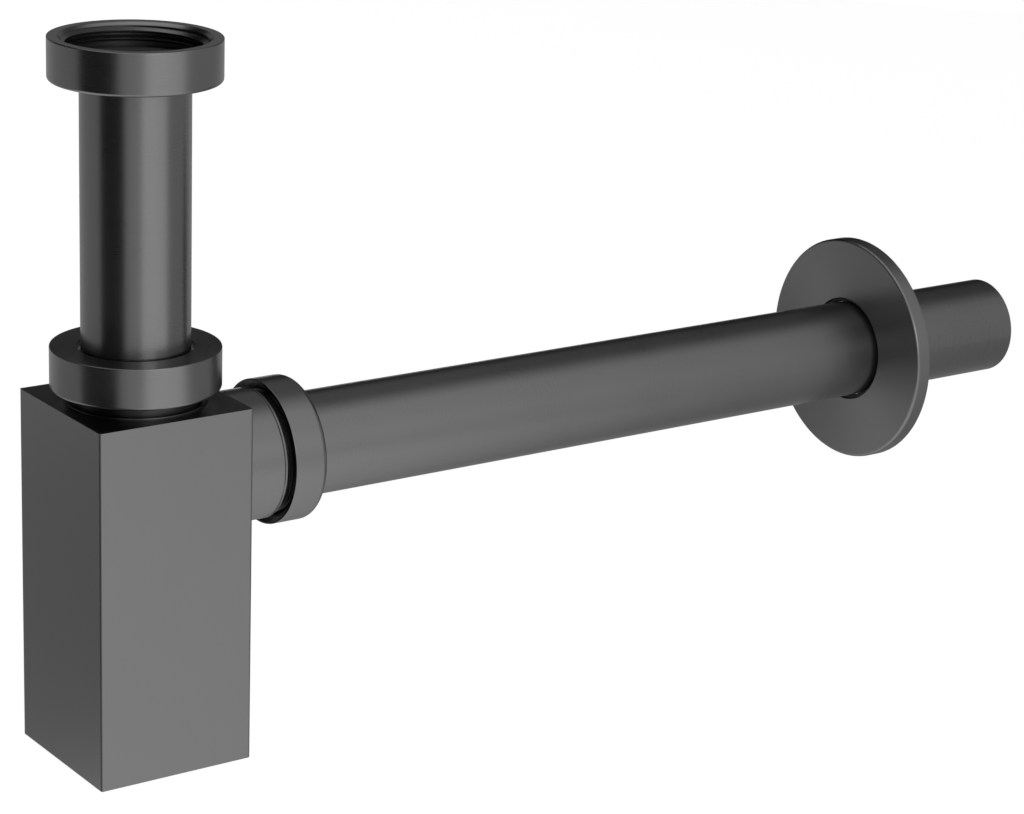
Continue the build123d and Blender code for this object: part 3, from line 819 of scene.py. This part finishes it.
# Floor, cards, lamp and camera
# A pale floor well below the hanging trap, a white surround, pale and dark cards round it that give the
# metal its soft bands and that only reflections see, one soft lamp, and the camera.
camera_turn = math.radians(-35.899)
camera_rise = math.radians(17.75)
camera_roll = math.radians(2.231)
camera_distance = 1.01544
camera_target = Vector((0.14317, 0.0, -0.12912))
focal_pixels = 3178.64
sensor_width = 36.0
picture_width = 1024
picture_height = 814
centre_pixel = (533.17, 421.19)
back = Vector((
    math.sin(camera_turn) * math.cos(camera_rise),
    -math.cos(camera_turn) * math.cos(camera_rise),
    math.sin(camera_rise),
))
level_right = (-back).cross(Vector((0, 0, 1))).normalized()
level_up = level_right.cross(-back)
right = level_right * math.cos(camera_roll) + level_up * math.sin(camera_roll)
up = level_up * math.cos(camera_roll) - level_right * math.sin(camera_roll)
camera_data = bpy.data.cameras.new("camera")
camera_data.sensor_width = sensor_width
camera_data.lens = focal_pixels / picture_width * sensor_width
camera_data.shift_x = (picture_width / 2 - centre_pixel[0]) / picture_width
camera_data.shift_y = (centre_pixel[1] - picture_height / 2) / picture_width
camera_data.clip_end = 50.0
camera = bpy.data.objects.new("camera", camera_data)
placing = Matrix((right, up, back)).transposed().to_4x4()
placing.translation = camera_target + back * camera_distance
camera.matrix_world = placing
bpy.context.scene.collection.objects.link(camera)
bpy.context.scene.camera = camera
bpy.context.scene.view_settings.view_transform = "Standard"

floor_height = -0.50
floor_lift = 0.53
floor_size = 6.0
floor_white = 0.86
floor_roughness = 0.9
glow_fades_from = 0.15
glow_fades_to = 0.44
far_glow = -0.17
sideways_share = 0.55
floor_mesh = bmesh.new()
bmesh.ops.create_grid(floor_mesh, x_segments=4, y_segments=4, size=floor_size)
bmesh.ops.translate(floor_mesh, vec=(0, 0, floor_height), verts=floor_mesh.verts)
floor_data = bpy.data.meshes.new("floor")
floor_mesh.to_mesh(floor_data)
floor_mesh.free()
floor = bpy.data.objects.new("floor", floor_data)
bpy.context.scene.collection.objects.link(floor)
floor_material, floor_nodes, floor_links, floor_shader = new_material("pale_floor")
floor_shader.inputs["Base Color"].default_value = (floor_white, floor_white, floor_white, 1.0)
floor_shader.inputs["Roughness"].default_value = floor_roughness
floor_data.materials.append(floor_material)
floor_path = floor_nodes.new("ShaderNodeLightPath")
floor_glow = floor_nodes.new("ShaderNodeEmission")
floor_sum = floor_nodes.new("ShaderNodeAddShader")
floor_seen = calc(floor_nodes, floor_links, "MAXIMUM", floor_path.outputs["Is Camera Ray"],
                  floor_path.outputs["Is Transmission Ray"])
floor_x, floor_y = place_on(floor_nodes, floor_links)[:2]
sideways = calc(floor_nodes, floor_links, "MULTIPLY", floor_y, sideways_share)
sideways = calc(floor_nodes, floor_links, "ADD", floor_x, sideways)
falloff = map_range(floor_nodes, floor_links, sideways, glow_fades_from, glow_fades_to, floor_lift, far_glow)
mirrored = calc(floor_nodes, floor_links, "MULTIPLY", floor_path.outputs["Is Glossy Ray"], falloff)
floor_strength = calc(floor_nodes, floor_links, "MULTIPLY", floor_seen, floor_lift)
floor_strength = calc(floor_nodes, floor_links, "ADD", floor_strength, mirrored)
wire(floor_links, floor_strength, floor_glow.inputs["Strength"])
wire(floor_links, floor_shader.outputs["BSDF"], floor_sum.inputs[0])
wire(floor_links, floor_glow.outputs["Emission"], floor_sum.inputs[1])
wire(floor_links, floor_sum.outputs["Shader"], floor_nodes["Material Output"].inputs["Surface"])

surround_level = 0.55
world = bpy.data.worlds.new("white_surround")
world.use_nodes = True
bpy.context.scene.world = world
world_nodes, world_links = world.node_tree.nodes, world.node_tree.links
world_path = world_nodes.new("ShaderNodeLightPath")
straight = calc(world_nodes, world_links, "MAXIMUM", world_path.outputs["Is Camera Ray"],
                world_path.outputs["Is Glossy Ray"])
straight = calc(world_nodes, world_links, "MAXIMUM", straight, world_path.outputs["Is Transmission Ray"])
level = map_range(world_nodes, world_links, straight, 0.0, 1.0, surround_level, 1.0)
wire(world_links, level, world_nodes["Background"].inputs["Strength"])
world_nodes["Background"].inputs["Color"].default_value = (1, 1, 1, 1)

card_centre = Vector((0.03, 0.0, 0.0))


def toward(angle):
    """A level direction, in degrees to the right of the camera as seen from the trap."""
    flat_back = Vector((back.x, back.y, 0)).normalized()
    return flat_back * math.cos(math.radians(angle)) + level_right * math.sin(math.radians(angle))


def card_from(mesh, name):
    """Makes a mesh a studio card that only reflections see; gives back what its glow is set with."""
    data = bpy.data.meshes.new(name)
    mesh.to_mesh(data)
    mesh.free()
    piece = bpy.data.objects.new(name, data)
    bpy.context.scene.collection.objects.link(piece)
    piece.visible_camera = False
    piece.visible_shadow = False
    piece.visible_diffuse = False
    material, nodes, links, shader = new_material(name)
    shader.inputs["Base Color"].default_value = (0, 0, 0, 1)
    shader.inputs["Specular IOR Level"].default_value = 0.0
    shader.inputs["Emission Color"].default_value = (1, 1, 1, 1)
    data.materials.append(material)
    return nodes, links, shader.inputs["Emission Strength"]


def curved_card(name, first_angle, last_angle, low, high, distance, glow):
    """A card round the trap, from one angle to another and between two heights."""
    mesh = bmesh.new()
    foot = mesh.verts.new(card_centre + toward(first_angle) * distance + Vector((0, 0, low)))
    head = mesh.verts.new(card_centre + toward(first_angle) * distance + Vector((0, 0, high)))
    edge = mesh.edges.new((foot, head))
    bmesh.ops.spin(mesh, geom=[foot, head, edge], cent=card_centre, axis=(0, 0, 1),
                   angle=math.radians(last_angle - first_angle), steps=24)
    nodes, links, strength = card_from(mesh, name)
    wire(links, glow, strength)


for name, first_angle, last_angle, low, high, distance, glow in (
    ("left_card", 195, 291, -0.28, -0.02, 0.6, 0.45),
    ("left_low_card", 180, 243, -0.49, -0.28, 0.6, 0.44),
    ("bottle_side_card", 243, 288, -0.49, -0.28, 0.6, 0.28),
    ("dark_card", 292, 343, -0.48, 0.6, 0.5, 0.03),
    ("half_card", 343, 352, -0.48, 0.6, 0.5, 0.5),
    ("front_card", 352, 376, -0.48, 0.6, 0.5, 0.56),
    ("union_card", 150, 235, 0.035, 0.11, 0.25, 0.22),
    ("dark_high_card", 118, 300, -0.5, 3.5, 3.0, 0.0),
):
    curved_card(name, first_angle, last_angle, low, high, distance, glow)

end_card_place = 1.2
end_card_size = 3.5
end_glow_near = 0.44
end_glow_far = 0.92
end_glow_rises_from = 1.38
end_glow_rises_to = 1.66
end_swing_greys = ((0.41, 1.0), (0.60, 0.22), (0.78, 0.2), (0.88, 0.03))
end_mesh = bmesh.new()
bmesh.ops.create_grid(end_mesh, x_segments=2, y_segments=2, size=end_card_size,
                      matrix=Matrix.Translation((end_card_place, 0, end_card_size + floor_height))
                      @ Matrix.Rotation(math.pi / 2, 4, "Y"))
end_nodes, end_links, end_strength = card_from(end_mesh, "end_card")
across, above_zero = place_on(end_nodes, end_links)[1:]
above = calc(end_nodes, end_links, "SUBTRACT", above_zero, outlet_height)
reach = calc(end_nodes, end_links, "SQRT", calc(end_nodes, end_links, "ADD",
             calc(end_nodes, end_links, "MULTIPLY", across, across),
             calc(end_nodes, end_links, "MULTIPLY", above, above)))
outward = map_range(end_nodes, end_links, reach, end_glow_rises_from, end_glow_rises_to, end_glow_near,
                    end_glow_far)
swing = calc(end_nodes, end_links, "ARCTAN2", above, calc(end_nodes, end_links, "MULTIPLY", across, -1.0))
upward = end_nodes.new("ShaderNodeValToRGB")
swing_marks = upward.color_ramp.elements
swing_marks.remove(swing_marks[1])
for index, (place, grey) in enumerate(end_swing_greys):
    mark = swing_marks.new(place) if index else swing_marks[0]
    mark.position = place
    mark.color = (grey, grey, grey, 1)
wire(end_links, calc(end_nodes, end_links, "DIVIDE", swing, math.pi), upward.inputs["Fac"])
end_glow = calc(end_nodes, end_links, "MULTIPLY", outward, upward.outputs["Color"])
wire(end_links, end_glow, end_strength)

lamp_angle = 34
lamp_distance = 1.6
lamp_height = 0.5
lamp_size = 0.8
lamp_power = 3.0
lamp_target = card_centre + Vector((0, 0, -0.1))
lamp_data = bpy.data.lights.new("key_lamp", "AREA")
lamp_data.shape = "SQUARE"
lamp_data.size = lamp_size
lamp_data.energy = lamp_power
lamp = bpy.data.objects.new("key_lamp", lamp_data)
lamp_place = card_centre + toward(lamp_angle) * lamp_distance + Vector((0, 0, lamp_height))
lamp_turn = (lamp_target - lamp_place).to_track_quat("-Z", "Y").to_matrix().to_4x4()
lamp.matrix_world = Matrix.Translation(lamp_place) @ lamp_turn
bpy.context.scene.collection.objects.link(lamp)
